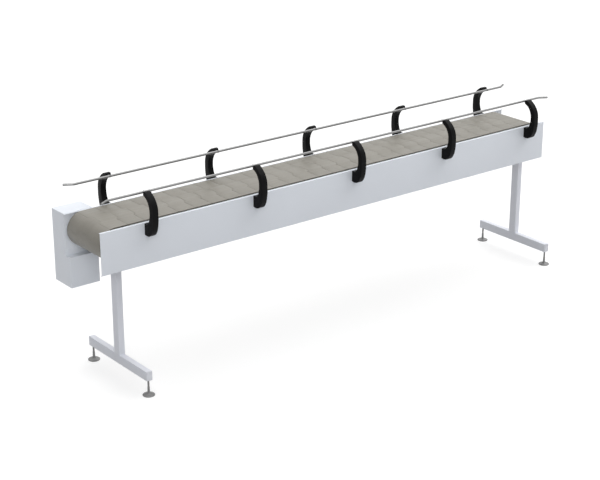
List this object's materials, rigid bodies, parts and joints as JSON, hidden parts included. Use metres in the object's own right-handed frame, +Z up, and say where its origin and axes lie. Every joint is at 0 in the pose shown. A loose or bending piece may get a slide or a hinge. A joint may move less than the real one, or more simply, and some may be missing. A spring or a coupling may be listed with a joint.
{
  "type": "slat chain conveyor",
  "caption": "Straight slat chain conveyor with folded side panels, curved guide brackets, round rails, end drive and two T stands.",
  "frame": {"origin": "on the floor, under the middle of the whole length and width", "axes": "+X along the conveyor away from its drive end, +Y to the side that the drive box is on, +Z up"},
  "size_m": [3.018, 0.58, 1.019],
  "materials": {
    "panel_paint": "smooth white powder coat",
    "stand_paint": "smooth white powder coat",
    "chain_plastic": "satin, warm grey moulded plastic",
    "bracket_plastic": "satin black moulded plastic",
    "rail_steel": "drawn round bar",
    "shaft_steel": "turned",
    "plated_steel": "zinc plated",
    "wheel_plastic": "machined nylon",
    "strip_plastic": "slippery polyethylene",
    "roller_plastic": "moulded",
    "bearing_iron": "painted cast housing",
    "drive_iron": "grey machine enamel",
    "foot_steel": "dull plated",
    "plug_plastic": "moulded"
  },
  "bodies": {
    "frame": {"near_side_panel": "panel_paint", "far_side_panel": "panel_paint", "stud_nuts": "plated_steel", "cross_members": "plated_steel", "strip_carriers": "plated_steel", "wear_strips": "strip_plastic", "roller_shafts": "shaft_steel", "chain_carry_run": "chain_plastic", "chain_return_run": "chain_plastic", "chain_idler_wrap": "chain_plastic", "chain_drive_wrap": "chain_plastic", "drive_bearings": "bearing_iron", "idler_bearings": "bearing_iron", "gearbox_housing": "drive_iron", "motor_body": "drive_iron", "motor_cowl": "drive_iron", "drive_cover": "panel_paint", "cover_screws": "plated_steel", "drive_end_post": "stand_paint", "idler_end_post": "stand_paint", "drive_end_beam": "stand_paint", "idler_end_beam": "stand_paint", "beam_plugs": "plug_plastic", "stand_heads": "plated_steel", "stand_bolts": "plated_steel", "foot_nuts": "plated_steel", "rail_clips": "bracket_plastic", "bracket_bolts": "plated_steel", "near_guide_rail": "rail_steel", "far_guide_rail": "rail_steel", "near_bracket_1": "bracket_plastic", "near_bracket_2": "bracket_plastic", "near_bracket_3": "bracket_plastic", "near_bracket_4": "bracket_plastic", "near_bracket_5": "bracket_plastic", "far_bracket_1": "bracket_plastic", "far_bracket_2": "bracket_plastic", "far_bracket_3": "bracket_plastic", "far_bracket_4": "bracket_plastic", "far_bracket_5": "bracket_plastic"},
    "drive_wheelset": {"drive_shaft": "shaft_steel", "drive_keys": "shaft_steel", "drive_wheels": "wheel_plastic", "drive_discs": "wheel_plastic", "gearbox_hub": "shaft_steel"},
    "idler_wheelset": {"idler_shaft": "shaft_steel", "idler_discs": "wheel_plastic"},
    "roller_1": {"return_roller_1": "roller_plastic"},
    "roller_2": {"return_roller_2": "roller_plastic"},
    "roller_3": {"return_roller_3": "roller_plastic"},
    "foot_1": {"foot_pad_1": "foot_steel", "foot_spindle_1": "foot_steel"},
    "foot_2": {"foot_pad_2": "foot_steel", "foot_spindle_2": "foot_steel"},
    "foot_3": {"foot_pad_3": "foot_steel", "foot_spindle_3": "foot_steel"},
    "foot_4": {"foot_pad_4": "foot_steel", "foot_spindle_4": "foot_steel"}
  },
  "joints": [
    {"name": "drive_spin", "type": "hinge", "parent": "frame", "child": "drive_wheelset", "pos_m": [-1.414, 0, 0.77815], "axis": [0, -1, 0], "continuous": true, "deforming": ["chain_drive_wrap"]},
    {"name": "idler_spin", "type": "hinge", "parent": "frame", "child": "idler_wheelset", "pos_m": [1.38912, 0, 0.77815], "axis": [0, -1, 0], "continuous": true},
    {"name": "return_roller_1_spin", "type": "hinge", "parent": "frame", "child": "roller_1", "pos_m": [-0.71322, 0, 0.67001], "axis": [0, -1, 0], "continuous": true},
    {"name": "return_roller_2_spin", "type": "hinge", "parent": "frame", "child": "roller_2", "pos_m": [-0.01244, 0, 0.67001], "axis": [0, -1, 0], "continuous": true},
    {"name": "return_roller_3_spin", "type": "hinge", "parent": "frame", "child": "roller_3", "pos_m": [0.68834, 0, 0.67001], "axis": [0, -1, 0], "continuous": true},
    {"name": "foot_1_level", "type": "slide", "parent": "frame", "child": "foot_1", "axis": [0, 0, 1], "range_m": [-0.014, 0.018]},
    {"name": "foot_2_level", "type": "slide", "parent": "frame", "child": "foot_2", "axis": [0, 0, 1], "range_m": [-0.014, 0.018]},
    {"name": "foot_3_level", "type": "slide", "parent": "frame", "child": "foot_3", "axis": [0, 0, 1], "range_m": [-0.014, 0.018]},
    {"name": "foot_4_level", "type": "slide", "parent": "frame", "child": "foot_4", "axis": [0, 0, 1], "range_m": [-0.014, 0.018]}
  ],
  "couplings": [
    {"joint": "idler_spin", "follows": "drive_spin", "ratio": 1},
    {"joint": "return_roller_1_spin", "follows": "drive_spin", "ratio": -4.2673},
    {"joint": "return_roller_2_spin", "follows": "drive_spin", "ratio": -4.2673},
    {"joint": "return_roller_3_spin", "follows": "drive_spin", "ratio": -4.2673}
  ]
}
